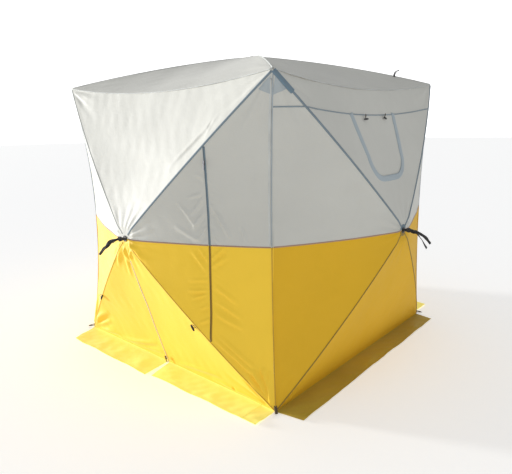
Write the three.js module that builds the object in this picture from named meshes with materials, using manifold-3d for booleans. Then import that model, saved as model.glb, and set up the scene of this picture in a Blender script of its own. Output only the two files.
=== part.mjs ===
// A hub-style pop-up ice fishing shelter. Millimetres, +Z up, origin on the ground under the middle
// of the cabin. The door wall faces -Y and the window wall faces +X.
//
// Five panels (four walls and the roof) are built alike. Each has a hub in its middle that stands
// outwards, four fibreglass rods from the hub to the panel's corners, and a skin of cloth over them.
// A panel's own frame has x across it, y up it (or along +Y on the roof) and z outwards.
import * as THREE from "three";
import { mergeVertices } from "three/addons/utils/BufferGeometryUtils.js";
import Module from "manifold-3d";

const wasm = await Module();
wasm.setup();

// ---- driving dimensions ----
const HALF = 900; // half the base, corner to corner of the cloth
const WALL_HEIGHT = 1770; // ground to the cloth's top corners
const WALL_BULGE = 260; // how far a wall's cloth stands out at its hub
const ROOF_BULGE = 195; // how far the roof's cloth rises at its hub
const EAVE_SAG = 65; // drop of the eaves midway between the corners
const ROD_BOW = 20; // the cloth's rise over a bent rod, from corner to hub
const CAP = 0.08; // share of a panel's half size that is flat over the hub
// How far each upright corner edge is drawn in at mid height, by the signs of its x and y.
const EDGE_PULL = { "1,-1": 95, "-1,-1": 65, "1,1": 25, "-1,1": 45 };

const CLOTH = 3; // thickness of a cloth solid
const GAP = 1; // between solids that nearly touch
// The snow skirts lie on the ground. Each starts just inside its wall's foot, and its outer edge is
// given by how far it lies from the middle of the cabin.
const SKIRT = {
  inner: 896,
  side: 1065, // right and left walls, at the front
  sideBack: 1035,
  back: 1140,
  frontRight: 1063, // front wall, beside the right corner
  doorRight: 1090, // front wall, beside the zip
  doorLeft: 1106,
  endHalf: 870, // half length of a skirt's outer edge
  frontLeftEnd: 818, // half length of the front wall's outer edge at the left corner
  neck: 918, // the notch at a front corner
  hingeGap: [790, 806], // between a door flap's skirt and the corner's
  zipGap: 60, // at the zip, along the outer edge
};

const FITTING_INSET = 30; // corner fitting's centre, in from the three planes of the cloth
const FITTING_RADIUS = 20;
const FOOT_RADIUS = 22;
const FOOT_HEIGHT = 22;
const PIVOT_REACH = 40; // rod pin, out from the fitting's centre
const FORK = { width: 24, height: 20, slotWidth: 12, slotBack: 13, slotFront: 14, earRadius: 10 };
const PIN_RADIUS = 3;
const PIN_LENGTH = 23;
const EYE = { radius: 9, width: 10, bore: 3.4 };
const ROD_RADIUS = 5.5;
const ROD_HUB_RADIUS = 45; // where a rod ends, out from the hub's axis
const ROD_CENTRE_BOW = 22; // bend of the rod itself
const ROD_START = 5; // the rod begins inside its eye

const HUB_DEPTH = 22; // hub's mid plane, under the cloth's outer face
const HUB = { radius: 62, back: 12, front: 18, slotWidth: 13.4, slotFrom: 8, slotHeight: 26 };
const RIVET = { neck: 5, hole: 7, plate: 18, plateFrom: 23, plateTo: 26, ears: 13.5, earWidth: 3.5 };
const STRAP_PIN = { radius: 3, height: 33, wall: 2, earHalf: 5 }; // height is above the hub's mid plane
const STRAP = { length: 150, width: 25, half: 19, band: 3, sleeve: 6, bore: 3.6, droop: 22 };

const BINDING = { lift: 0.5, thickness: 3, width: 20 };
const FLAP_GAP = 2; // between a flap and the cloth round it
const SIDE_DOOR = { zip: 545, hinge: 800, margin: 42, cornerTrim: 10 };
// Over partFrom the flaps' edges part, to tipHalf each at the top, so that their tips can turn.
const LOWER_DOOR = { corner: 800, apex: 750, halfGap: 3, foot: 4, zipTop: 710, partFrom: 590, tipHalf: 13 };
const ZIP = { width: 30, thickness: 2.5, over: 15 };
const SLIDER = { width: 11, length: 26, height: 8, pull: 34, tab: 3, stand: 10, fromEnd: 45, onLower: 9 };
const WINDOW = {
  top: 1570,
  shoulder: 1330,
  bottom: 1178,
  cornerRadius: 148,
  topHalf: 272,
  shoulderHalf: 224,
  centreTop: -38,
  centreBottom: -27,
  band: 36,
  paneOverlap: 12,
  paneThickness: 1.5,
};
const ROOF_LOOP = { x: 715, y: 694, height: 46, width: 34, band: 3, depth: 20 };

// Blocks that cut the cloth reach well past it on both sides of the panel's plane.
const CUT_FROM = -300;
const CUT_TO = 500;

// ---- colours ----
const material = (color, roughness, metalness = 0) =>
  new THREE.MeshStandardMaterial({ color, roughness, metalness });
const WHITE_CLOTH = material("#dcdcd8", 0.85);
const YELLOW_CLOTH = material("#d8b13a", 0.85);
const GREY_TAPE = material("#75839a", 0.8);
const BLACK_WEBBING = material("#1d1d1f", 0.75);
const FIBREGLASS = material("#26282b", 0.45);
const NYLON = material("#17181a", 0.5);
const ZINC = material("#8c8f93", 0.4, 0.9);
const CLEAR_PVC = new THREE.MeshStandardMaterial({
  color: "#c9d3d8",
  roughness: 0.15,
  transparent: true,
  opacity: 0.35,
});

// ---- solids ----
function solid(geometry) {
  const loose = geometry.index ? geometry.toNonIndexed() : geometry;
  const bare = new THREE.BufferGeometry().setAttribute("position", loose.getAttribute("position"));
  const merged = mergeVertices(bare, 1e-3);
  return new wasm.Manifold(
    new wasm.Mesh({
      numProp: 3,
      vertProperties: merged.attributes.position.array,
      triVerts: new Uint32Array(merged.index.array),
    }),
  );
}

function geometryOf(manifold) {
  const mesh = manifold.getMesh();
  return new THREE.BufferGeometry()
    .setAttribute("position", new THREE.BufferAttribute(new Float32Array(mesh.vertProperties), 3))
    .setIndex(new THREE.BufferAttribute(new Uint32Array(mesh.triVerts), 1));
}

function named(name, geometryOrSolid, look) {
  const isGeometry = geometryOrSolid.isBufferGeometry;
  const mesh = new THREE.Mesh(isGeometry ? geometryOrSolid : geometryOf(geometryOrSolid), look);
  mesh.name = name;
  return mesh;
}

function boxAt(x0, x1, y0, y1, z0, z1) {
  const box = new THREE.BoxGeometry(x1 - x0, y1 - y0, z1 - z0);
  return box.translate((x0 + x1) / 2, (y0 + y1) / 2, (z0 + z1) / 2);
}
function rodAlongY(radius, length, sides) {
  return new THREE.CylinderGeometry(radius, radius, length, sides);
}
function discAlongZ(radius, z0, z1, sides) {
  return rodAlongY(radius, z1 - z0, sides).rotateX(Math.PI / 2).translate(0, 0, (z0 + z1) / 2);
}

// A straight-sided block over an outline in the x, y plane, given anticlockwise.
function prism(points, low = CUT_FROM, high = CUT_TO) {
  const shape = new THREE.Shape(points.map(([x, y]) => new THREE.Vector2(x, y)));
  const block = new THREE.ExtrudeGeometry(shape, { depth: high - low, bevelEnabled: false });
  return solid(block.translate(0, 0, low));
}
const rectangle = (x0, x1, y0, y1) => [
  [x0, y0],
  [x1, y0],
  [x1, y1],
  [x0, y1],
];

// ---- panels ----
const UP = new THREE.Vector3(0, 0, 1);
const wallPanel = (name, across, pulls, inset) => {
  const out = new THREE.Vector3().crossVectors(across, UP);
  const halfUp = WALL_HEIGHT / 2;
  const centre = out.clone().multiplyScalar(HALF).setZ(halfUp);
  return { name, across, up: UP, out, centre, bulge: WALL_BULGE, pulls, halfUp, inset, isWall: true };
};
// pulls holds the draw-in of the edge at x < 0 and of the edge at x > 0, seen from outside.
const PANELS = [
  wallPanel("front", new THREE.Vector3(1, 0, 0), [EDGE_PULL["-1,-1"], EDGE_PULL["1,-1"]], 0),
  wallPanel("right", new THREE.Vector3(0, 1, 0), [EDGE_PULL["1,-1"], EDGE_PULL["1,1"]], CLOTH + GAP),
  wallPanel("back", new THREE.Vector3(-1, 0, 0), [EDGE_PULL["1,1"], EDGE_PULL["-1,1"]], 0),
  wallPanel("left", new THREE.Vector3(0, -1, 0), [EDGE_PULL["-1,1"], EDGE_PULL["-1,-1"]], CLOTH + GAP),
  {
    name: "roof",
    across: new THREE.Vector3(1, 0, 0),
    up: new THREE.Vector3(0, 1, 0),
    out: UP,
    centre: new THREE.Vector3(0, 0, WALL_HEIGHT),
    bulge: ROOF_BULGE,
    pulls: [0, 0],
    halfUp: HALF,
    inset: 0,
    isWall: false,
  },
];

const whole = new THREE.Group();
for (const panel of PANELS) {
  panel.group = new THREE.Group();
  panel.group.position.copy(panel.centre);
  const basis = new THREE.Matrix4().makeBasis(panel.across, panel.up, panel.out);
  panel.group.quaternion.setFromRotationMatrix(basis);
  panel.group.updateMatrixWorld(true);
  whole.add(panel.group);
}
const [FRONT, RIGHT, BACK, LEFT, ROOF] = PANELS;

// The cloth's outer face. a and b run from -1 to 1 across and up the panel.
function clothPoint(panel, a, b) {
  const reach = Math.max(Math.abs(a), Math.abs(b));
  const q = Math.max(0, (reach - CAP) / (1 - CAP));
  const onDiagonal = reach > 0 ? Math.min(Math.abs(a), Math.abs(b)) / reach : 0;
  const rise = panel.bulge * (1 - q) + 4 * ROD_BOW * q * (1 - q) * onDiagonal ** 2;
  if (!panel.isWall) {
    return new THREE.Vector3(a * HALF, b * HALF, rise - EAVE_SAG * Math.abs(a * a - b * b));
  }
  const pull = panel.pulls[a > 0 ? 1 : 0] * Math.max(0, a * a - b * b);
  const sag = b > 0 ? EAVE_SAG * Math.max(0, b * b - a * a) : 0;
  const lowest = -panel.halfUp + CLOTH + GAP;
  const highest = panel.halfUp - CLOTH - GAP;
  const x = a * (HALF - panel.inset) - Math.sign(a) * pull;
  const y = THREE.MathUtils.lerp(lowest, highest, (b + 1) / 2) - sag;
  return new THREE.Vector3(x, y, rise - pull);
}

// A closed sheet over the whole panel, its outer face lifted off the cloth's outer face.
const RINGS = [CAP, 0.33, 0.6, 0.82, 1];
const SIDE_STEPS = 4;
function panelSheet(panel, lift, thickness) {
  const spokes = 4 * SIDE_STEPS;
  const edge = [];
  for (let k = 0; k < spokes; k++) {
    const t = -1 + (2 * (k % SIDE_STEPS)) / SIDE_STEPS;
    edge.push([[1, t], [-t, 1], [-1, -t], [t, -1]][Math.floor(k / SIDE_STEPS)]);
  }
  const points = [clothPoint(panel, 0, 0)];
  RINGS.forEach((r) => edge.forEach(([a, b]) => points.push(clothPoint(panel, a * r, b * r))));
  const count = points.length;
  const positions = [];
  for (const drop of [lift, lift - thickness]) {
    points.forEach((p) => positions.push(p.x, p.y, p.z + drop));
  }
  const at = (ring, k) => 1 + ring * spokes + (k % spokes);
  const faces = [];
  for (let k = 0; k < spokes; k++) {
    faces.push([0, at(0, k), at(0, k + 1)]);
    for (let ring = 0; ring + 1 < RINGS.length; ring++) {
      const [p, q, r, s] = [at(ring, k), at(ring + 1, k), at(ring + 1, k + 1), at(ring, k + 1)];
      faces.push([p, q, r], [p, r, s]);
    }
  }
  const last = RINGS.length - 1;
  const index = [];
  faces.forEach(([p, q, r]) => index.push(p, q, r, count + p, count + r, count + q));
  for (let k = 0; k < spokes; k++) {
    const [p, q] = [at(last, k), at(last, k + 1)];
    index.push(p, count + p, count + q, p, count + q, q);
  }
  const geometry = new THREE.BufferGeometry();
  geometry.setAttribute("position", new THREE.BufferAttribute(new Float32Array(positions), 3));
  geometry.setIndex(index);
  return solid(geometry);
}

// Where the cloth's outer face lies over a point of a panel's plane.
function clothHeight(panel, x, y) {
  const lowest = -panel.halfUp + CLOTH + GAP;
  let [a, b] = [x / HALF, y / panel.halfUp];
  for (let i = 0; i < 20; i++) {
    const p = clothPoint(panel, a, b);
    a += (x - p.x) / HALF;
    b += (y - p.y) / Math.abs(lowest);
  }
  return clothPoint(panel, a, b).z;
}

// ---- hubs, rods and corner fittings ----
// The rod's own frame: origin at its pin, x towards the hub, z out of the panel, y along the pin.
function rodPlace(panel, sx, sy) {
  const [cx, cy] = [HALF - FITTING_INSET, panel.halfUp - FITTING_INSET];
  const far = Math.hypot(cx, cy);
  const pinRadius = far - PIVOT_REACH;
  const towards = new THREE.Vector3((-sx * cx) / far, (-sy * cy) / far, 0);
  const pin = new THREE.Vector3().crossVectors(UP, towards);
  const frame = new THREE.Matrix4().makeBasis(towards, pin, UP);
  frame.setPosition(towards.clone().multiplyScalar(-pinRadius).setZ(-FITTING_INSET));
  const rise = panel.bulge - HUB_DEPTH + FITTING_INSET;
  return { frame, run: pinRadius - ROD_HUB_RADIUS, rise };
}

function rodSolid({ run, rise }) {
  const line = [];
  const steps = 5;
  for (let i = 0; i <= steps; i++) {
    const s = ROD_START / run + (1 - ROD_START / run) * (i / steps);
    line.push(new THREE.Vector3(run * s, 0, rise * s + 4 * ROD_CENTRE_BOW * s * (1 - s)));
  }
  const section = new THREE.Shape();
  section.absarc(0, 0, ROD_RADIUS, 0, 2 * Math.PI);
  const path = new THREE.CatmullRomCurve3(line);
  const options = { steps, extrudePath: path, curveSegments: 3, bevelEnabled: false };
  const shaft = solid(new THREE.ExtrudeGeometry(section, options));
  const eye = solid(rodAlongY(EYE.radius, EYE.width, 10));
  return shaft.add(eye).subtract(solid(rodAlongY(EYE.bore, 2 * EYE.width, 8)));
}

function hubSolid(panel) {
  let body = solid(discAlongZ(HUB.radius, -HUB.back, HUB.front, 20));
  const [cx, cy] = [HALF - FITTING_INSET, panel.halfUp - FITTING_INSET];
  for (const [sx, sy] of CORNER_SIGNS) {
    const half = HUB.slotWidth / 2;
    const low = HUB.slotHeight / 2;
    const slot = boxAt(HUB.slotFrom, 2 * HUB.radius, -half, half, -low, low);
    body = body.subtract(solid(slot.rotateZ(Math.atan2(sy * cy, sx * cx))));
  }
  const neck = discAlongZ(RIVET.neck, HUB.front - 1, RIVET.plateTo, 8);
  const plate = discAlongZ(RIVET.plate, RIVET.plateFrom, RIVET.plateTo, 12);
  body = body.add(solid(neck)).add(solid(plate));
  if (!panel.isWall) return body;
  const { earHalf } = STRAP_PIN;
  const top = STRAP_PIN.height + STRAP_PIN.radius + STRAP_PIN.wall;
  for (const from of [-RIVET.ears - RIVET.earWidth, RIVET.ears]) {
    const ear = boxAt(from, from + RIVET.earWidth, -earHalf, earHalf, RIVET.plateTo - 1, top);
    body = body.add(solid(ear));
  }
  const pinLength = 2 * (RIVET.ears + RIVET.earWidth) - 1;
  const pin = rodAlongY(STRAP_PIN.radius, pinLength, 8).rotateZ(Math.PI / 2);
  return body.add(solid(pin.translate(0, 0, STRAP_PIN.height)));
}

const CORNER_SIGNS = [
  [1, 1],
  [-1, 1],
  [-1, -1],
  [1, -1],
];
const fittings = new Map(); // keyed by the signs of x, y and whether it is at the top

function fittingFor(world) {
  const centre = new THREE.Vector3(
    Math.sign(world.x) * (HALF - FITTING_INSET),
    Math.sign(world.y) * (HALF - FITTING_INSET),
    world.z > WALL_HEIGHT / 2 ? WALL_HEIGHT - FITTING_INSET : FITTING_INSET,
  );
  const key = centre.toArray().join();
  if (!fittings.has(key)) fittings.set(key, { centre, forks: [] });
  return fittings.get(key);
}

function cornerName({ x, y, z }) {
  const level = z > WALL_HEIGHT / 2 ? "top" : "bottom";
  return `${level}_${y < 0 ? "front" : "back"}_${x > 0 ? "right" : "left"}`;
}

for (const panel of PANELS) {
  const hubPlane = panel.bulge - HUB_DEPTH;
  const hub = named(`hub_${panel.name}`, hubSolid(panel), NYLON);
  hub.position.z = hubPlane;
  panel.group.add(hub);
  for (const [sx, sy] of CORNER_SIGNS) {
    const place = rodPlace(panel, sx, sy);
    const toWorld = panel.group.matrixWorld.clone().multiply(place.frame);
    const fitting = fittingFor(new THREE.Vector3().setFromMatrixPosition(toWorld));
    fitting.forks.push(toWorld);
    const rod = named(`rod_${panel.name}_${cornerName(fitting.centre)}`, rodSolid(place), FIBREGLASS);
    place.frame.decompose(rod.position, rod.quaternion, rod.scale);
    panel.group.add(rod);
  }
}

for (const { centre, forks } of fittings.values()) {
  const toLocal = new THREE.Matrix4().makeTranslation(-centre.x, -centre.y, -centre.z);
  let body = solid(new THREE.IcosahedronGeometry(FITTING_RADIUS, 0));
  const placed = (geometry, fork) => solid(geometry.applyMatrix4(toLocal.clone().multiply(fork)));
  const { width, height, slotWidth, slotBack, slotFront, earRadius } = FORK;
  for (const fork of forks) {
    const arm = boxAt(-PIVOT_REACH, 0, -width / 2, width / 2, -height / 2, height / 2);
    body = body.add(placed(arm, fork)).add(placed(rodAlongY(earRadius, width, 8), fork));
  }
  for (const fork of forks) {
    const slot = boxAt(-slotBack, slotFront, -slotWidth / 2, slotWidth / 2, -height, height);
    body = body.subtract(placed(slot, fork));
  }
  for (const fork of forks) {
    body = body.add(placed(rodAlongY(PIN_RADIUS, PIN_LENGTH, 8), fork));
  }
  if (centre.z < WALL_HEIGHT / 2) {
    body = body.add(solid(discAlongZ(FOOT_RADIUS, -centre.z, FOOT_HEIGHT - centre.z, 12)));
  }
  const fitting = named(`corner_${cornerName(centre)}`, body, NYLON);
  fitting.position.copy(centre);
  whole.add(fitting);
}

// ---- cloth ----
// The lines that bound the door openings run beside the rods.
const slope = FRONT.halfUp / HALF;
const beside = (x, margin) => x * slope - margin;
const sideOutline = (grow) => {
  const [left, right] = [SIDE_DOOR.zip - grow, SIDE_DOOR.hinge + grow];
  const up = (x) => beside(x, SIDE_DOOR.margin - grow * Math.SQRT2);
  return [
    [left, -up(left)],
    [right, -up(right)],
    [right, up(right)],
    [left, up(left)],
  ];
};
const ground = -FRONT.halfUp;
const flapFoot = ground + LOWER_DOOR.foot;
const apexY = ground + LOWER_DOOR.apex;
const below = ground + CUT_FROM; // well under the wall's foot
const hingeSlope = (apexY - flapFoot) / (LOWER_DOOR.corner - LOWER_DOOR.halfGap);
const lowerOutline = (grow, foot) => {
  const lift = grow * Math.hypot(1, hingeSlope);
  const wide = LOWER_DOOR.corner + (lift + flapFoot - foot) / hingeSlope;
  return [
    [-wide, foot],
    [wide, foot],
    [0, apexY + LOWER_DOOR.halfGap * hingeSlope + lift],
  ];
};

// The window's outline, widest at the top and rounded at its lower corners, grown by a margin. Its
// straight sides can run on above the window's top.
function windowOutline(grow, top) {
  const at = (z) => z - RIGHT.halfUp;
  const { shoulder, bottom, topHalf, shoulderHalf, centreTop, centreBottom, cornerRadius } = WINDOW;
  const share = (top - shoulder) / (WINDOW.top - shoulder);
  const half = THREE.MathUtils.lerp(shoulderHalf, topHalf, share);
  const centre = THREE.MathUtils.lerp(centreBottom, centreTop, share);
  const rounded = cornerRadius + grow;
  const arcSteps = 6;
  const points = [];
  for (const side of [1, -1]) {
    const inner = centreBottom + side * (shoulderHalf - cornerRadius);
    const arc = [];
    for (let i = 0; i <= arcSteps; i++) {
      const angle = (i / arcSteps) * (Math.PI / 2);
      const x = inner + side * rounded * Math.sin(angle);
      arc.push([x, at(bottom) + cornerRadius - rounded * Math.cos(angle)]);
    }
    arc.push([centreBottom + side * (shoulderHalf + grow), at(shoulder)]);
    arc.push([centre + side * (half + grow), at(top)]);
    points.push(...(side > 0 ? arc : arc.reverse()));
  }
  return points;
}

const doorSkin = panelSheet(FRONT, 0, CLOTH);
const doorOver = panelSheet(FRONT, BINDING.lift + BINDING.thickness, BINDING.thickness);
const windowSkin = panelSheet(RIGHT, 0, CLOTH);
const rivetHole = solid(discAlongZ(RIVET.hole, 0, CUT_TO, 10));

const CUTS = {
  front: [prism(sideOutline(FLAP_GAP)), prism(lowerOutline(FLAP_GAP, below))],
  right: [prism(windowOutline(-WINDOW.band + FLAP_GAP, WINDOW.top))],
};
for (const panel of PANELS) {
  let skin = panelSheet(panel, 0, CLOTH).subtract(rivetHole);
  for (const cut of CUTS[panel.name] ?? []) skin = skin.subtract(cut);
  const name = panel.isWall ? `wall_${panel.name}` : "roof_cloth";
  panel.group.add(named(name, skin, WHITE_CLOTH));
}

// Door in the side of the front wall: a flap hinged beside the corner, closed by an upright zip.
// The flap's hinge corners are cut short, so that they turn clear of the binding.
const flapHalf = beside(SIDE_DOOR.hinge - SIDE_DOOR.cornerTrim, SIDE_DOOR.margin);
const flapBlock = prism(rectangle(0, HALF, -flapHalf, flapHalf));
const sideFlap = doorSkin.intersect(prism(sideOutline(0))).intersect(flapBlock);
FRONT.group.add(named("side_door_flap", sideFlap, YELLOW_CLOTH));
const bindingGrow = FLAP_GAP + BINDING.width;
const zipFree = SIDE_DOOR.zip + ZIP.over + FLAP_GAP;
const pastZip = prism(rectangle(zipFree, HALF, -HALF, HALF));
const sideRing = prism(sideOutline(bindingGrow)).subtract(prism(sideOutline(FLAP_GAP)));
const sideBinding = doorOver.intersect(sideRing).intersect(pastZip);
FRONT.group.add(named("side_door_binding", sideBinding, YELLOW_CLOTH));
const sideZipTop = beside(SIDE_DOOR.zip, SIDE_DOOR.margin) - FLAP_GAP;
const zipSheet = panelSheet(FRONT, BINDING.lift + ZIP.thickness, ZIP.thickness);
const [zipLeft, zipRight] = [SIDE_DOOR.zip - ZIP.over, SIDE_DOOR.zip + ZIP.over];
const sideZip = zipSheet.intersect(prism(rectangle(zipLeft, zipRight, -sideZipTop, sideZipTop)));
FRONT.group.add(named("side_zip", sideZip, GREY_TAPE));

// Door in the foot of the front wall: two flaps that part at an upright zip.
const lowerHalf = (side) => {
  const near = side * LOWER_DOOR.halfGap;
  const tipY = apexY - (LOWER_DOOR.tipHalf - LOWER_DOOR.halfGap) * hingeSlope;
  const points = [
    [near, flapFoot],
    [side * LOWER_DOOR.corner, flapFoot],
    [side * LOWER_DOOR.tipHalf, tipY],
    [near, ground + LOWER_DOOR.partFrom],
  ];
  return prism(side > 0 ? points : points.reverse());
};
FRONT.group.add(named("lower_flap_left", doorSkin.intersect(lowerHalf(-1)), YELLOW_CLOTH));
FRONT.group.add(named("lower_flap_right", doorSkin.intersect(lowerHalf(1)), YELLOW_CLOTH));
const lowerHole = prism(lowerOutline(FLAP_GAP, below));
const lowerRing = prism(lowerOutline(bindingGrow, flapFoot)).subtract(lowerHole);
FRONT.group.add(named("lower_door_binding", doorOver.intersect(lowerRing), YELLOW_CLOTH));
const lowerZipTop = ground + LOWER_DOOR.zipTop;
const lowerZipLeft = GAP - LOWER_DOOR.halfGap;
const lowerZipHole = rectangle(lowerZipLeft, lowerZipLeft + ZIP.width, flapFoot, lowerZipTop);
FRONT.group.add(named("lower_zip", zipSheet.intersect(prism(lowerZipHole)), GREY_TAPE));

// A zip slider: a waisted body with a pull tab hanging down the zip.
function sliderSolid() {
  const { width, length, height, pull, tab } = SLIDER;
  const outline = new THREE.Shape();
  outline.moveTo(-width / 2, length / 2);
  outline.quadraticCurveTo(-width / 4, 0, -width / 3, -length / 2);
  outline.lineTo(width / 3, -length / 2);
  outline.quadraticCurveTo(width / 4, 0, width / 2, length / 2);
  outline.closePath();
  const options = { depth: height, curveSegments: 4, bevelEnabled: false };
  const body = solid(new THREE.ExtrudeGeometry(outline, options));
  const handle = boxAt(-width / 3, width / 3, -pull, 0, height + 1 - tab, height + 1);
  return body.add(solid(handle));
}
function placeSlider(name, x, y, from, to) {
  const mesh = named(name, sliderSolid(), ZINC);
  const stand = BINDING.lift + ZIP.thickness + SLIDER.stand;
  mesh.position.set(x, y, clothHeight(FRONT, x, y) + stand);
  mesh.rotation.x = Math.atan2(clothHeight(FRONT, x, to) - clothHeight(FRONT, x, from), to - from);
  FRONT.group.add(mesh);
}
const { fromEnd, onLower } = SLIDER;
placeSlider("side_zip_slider", SIDE_DOOR.zip, sideZipTop - fromEnd, -sideZipTop, sideZipTop);
placeSlider("lower_zip_slider", onLower, flapFoot + fromEnd, flapFoot, lowerZipTop);

// Window: a sewn band in a U, a clear pane behind, and a cloth flap over it.
const windowHole = (grow, top = WINDOW.top) => prism(windowOutline(grow, top));
const bandSheet = panelSheet(RIGHT, BINDING.lift + BINDING.thickness, BINDING.thickness);
const bandRing = windowHole(0).subtract(windowHole(-WINDOW.band + FLAP_GAP, WINDOW.top + BINDING.width));
RIGHT.group.add(named("window_band", bandSheet.intersect(bandRing), GREY_TAPE));
const windowFlap = windowSkin.intersect(windowHole(-WINDOW.band, WINDOW.top - FLAP_GAP));
RIGHT.group.add(named("window_flap", windowFlap, WHITE_CLOTH));
const paneSheet = panelSheet(RIGHT, -CLOTH - GAP, WINDOW.paneThickness);
const paneHole = windowHole(WINDOW.paneOverlap - WINDOW.band, WINDOW.top + WINDOW.paneOverlap);
RIGHT.group.add(named("window_pane", paneSheet.intersect(paneHole), CLEAR_PVC));

// ---- snow skirts ----
// Those of the side walls run round the front corners, to where the door flaps' own skirts start.
const [flapEnd, cornerStart] = SKIRT.hingeGap;
const cornerSkirt = (frontEdge, frontEnd) => [
  [cornerStart, -SKIRT.inner],
  [cornerStart, -frontEdge],
  [frontEnd, -frontEdge],
  [SKIRT.neck, -SKIRT.neck],
  [SKIRT.side, -SKIRT.endHalf],
  [SKIRT.sideBack, SKIRT.endHalf],
  [SKIRT.inner, SKIRT.inner],
  [SKIRT.inner, -SKIRT.inner],
];
const mirrored = (points) => points.map(([x, y]) => [-x, y]).reverse();
const SKIRTS = {
  skirt_front_left: [
    [-LOWER_DOOR.halfGap, -SKIRT.inner],
    [-flapEnd, -SKIRT.inner],
    [-flapEnd, -SKIRT.doorLeft],
    [-LOWER_DOOR.halfGap, -SKIRT.doorLeft],
  ],
  skirt_front_right: [
    [LOWER_DOOR.halfGap, -SKIRT.inner],
    [SKIRT.zipGap, -SKIRT.doorRight],
    [flapEnd, -SKIRT.frontRight],
    [flapEnd, -SKIRT.inner],
  ],
  skirt_right: cornerSkirt(SKIRT.frontRight, SKIRT.inner),
  skirt_left: mirrored(cornerSkirt(SKIRT.doorLeft, SKIRT.frontLeftEnd)),
  skirt_back: [
    [SKIRT.endHalf, SKIRT.inner],
    [SKIRT.endHalf, SKIRT.back],
    [-SKIRT.endHalf, SKIRT.back],
    [-SKIRT.endHalf, SKIRT.inner],
  ],
};
for (const [name, outline] of Object.entries(SKIRTS)) {
  whole.add(named(name, prism(outline, 0, CLOTH), YELLOW_CLOTH));
}

// ---- pull straps and the roof's tie loop ----
function ellipse(halfLength, halfWidth, segments) {
  const shape = new THREE.Path();
  shape.absellipse(0, 0, halfLength, halfWidth, 0, 2 * Math.PI);
  return shape.getPoints(segments).slice(0, -1);
}
function strapSolid() {
  const { length, width, half, band, sleeve, bore } = STRAP;
  const shape = new THREE.Shape(ellipse(length / 2, half, 14));
  shape.holes.push(new THREE.Path(ellipse(length / 2 - band - 1, half - band, 14)));
  const ring = new THREE.ExtrudeGeometry(shape, { depth: width, bevelEnabled: false });
  ring.translate(length / 2 - sleeve + 1, 0, -width / 2);
  const end = solid(discAlongZ(sleeve, -width / 2, width / 2, 10));
  return solid(ring).add(end).subtract(solid(discAlongZ(bore, -width, width, 8)));
}
for (const panel of PANELS.filter((p) => p.isWall)) {
  const strap = named(`pull_strap_${panel.name}`, strapSolid(), BLACK_WEBBING);
  // The loop's own x runs out along the panel's z, drooping, and its width lies across the panel.
  const droop = THREE.MathUtils.degToRad(STRAP.droop);
  const along = new THREE.Vector3(0, -Math.sin(droop), Math.cos(droop));
  const across = new THREE.Vector3(1, 0, 0);
  const third = new THREE.Vector3().crossVectors(across, along);
  strap.quaternion.setFromRotationMatrix(new THREE.Matrix4().makeBasis(along, third, across));
  strap.position.z = panel.bulge - HUB_DEPTH + STRAP_PIN.height;
  panel.group.add(strap);
}

function roofLoopSolid() {
  const { height, width, band, depth } = ROOF_LOOP;
  const shape = new THREE.Shape(ellipse(width / 2, height / 2, 12));
  shape.holes.push(new THREE.Path(ellipse(width / 2 - band, height / 2 - band, 12)));
  const ring = new THREE.ExtrudeGeometry(shape, { depth, bevelEnabled: false });
  ring.rotateX(Math.PI / 2).translate(0, depth / 2, height / 2);
  return solid(ring);
}
const roofLoop = named("roof_tie_loop", roofLoopSolid(), BLACK_WEBBING);
const { x: loopX, y: loopY } = ROOF_LOOP;
roofLoop.position.set(loopX, loopY, clothHeight(ROOF, loopX, loopY) + 4 * GAP);
ROOF.group.add(roofLoop);

export default whole;
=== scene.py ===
"""The looks of a hub-style pop-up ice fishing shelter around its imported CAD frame. Metres, +Z up.

The door wall faces -Y and the window wall faces +X. Every panel has a frame of its own: x runs
across it, y up it and n out of it, with the panel's hub on the n axis.
"""

import math

import bmesh
import bpy
import numpy as np
from mathutils import Matrix, Vector


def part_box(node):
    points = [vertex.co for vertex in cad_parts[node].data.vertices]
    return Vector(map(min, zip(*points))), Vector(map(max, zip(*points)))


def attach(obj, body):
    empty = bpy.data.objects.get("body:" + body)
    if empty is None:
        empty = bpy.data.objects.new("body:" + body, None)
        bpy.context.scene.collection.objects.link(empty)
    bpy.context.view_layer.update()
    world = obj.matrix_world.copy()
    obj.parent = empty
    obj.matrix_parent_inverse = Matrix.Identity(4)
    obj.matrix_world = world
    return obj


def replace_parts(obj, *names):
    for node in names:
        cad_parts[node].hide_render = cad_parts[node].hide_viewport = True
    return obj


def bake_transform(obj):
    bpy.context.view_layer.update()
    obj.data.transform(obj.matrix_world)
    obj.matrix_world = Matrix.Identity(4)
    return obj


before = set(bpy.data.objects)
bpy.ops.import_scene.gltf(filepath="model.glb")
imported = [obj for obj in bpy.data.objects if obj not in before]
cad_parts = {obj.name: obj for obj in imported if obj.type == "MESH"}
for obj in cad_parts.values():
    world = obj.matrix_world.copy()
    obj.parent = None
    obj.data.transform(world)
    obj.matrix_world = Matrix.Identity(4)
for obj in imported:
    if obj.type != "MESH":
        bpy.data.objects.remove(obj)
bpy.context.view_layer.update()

# ---- sizes, read from the frame where a CAD node has them ----
EAVE_GAP = 0.004  # from a wall cloth's top to the eave, and from there to the roof's cloth
WALL_TRIM = 0.002  # what a wall's cloth is short of at its top and foot
wall_low, wall_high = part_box("wall_front")
HALF = wall_high.x
WALL_TOP = wall_high.z + EAVE_GAP
HALF_UP = WALL_TOP / 2
WALL_BULGE = -wall_low.y - HALF
ROOF_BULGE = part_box("roof_cloth")[1].z - WALL_TOP - EAVE_GAP
SKIRT_EDGE = {
    "front_left": -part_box("skirt_front_left")[0].y,
    "front_right": -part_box("skirt_front_right")[0].y,
    "side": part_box("skirt_right")[1].x,
    "back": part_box("skirt_back")[1].y,
}

EAVE_SAG = 0.065  # how far the eave hangs between its corners
ROD_BOW = 0.020  # how far a rod bows out of the straight line from hub to corner
CAP = 0.08  # the flat cloth over a hub, as a share of the panel's half size
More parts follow.
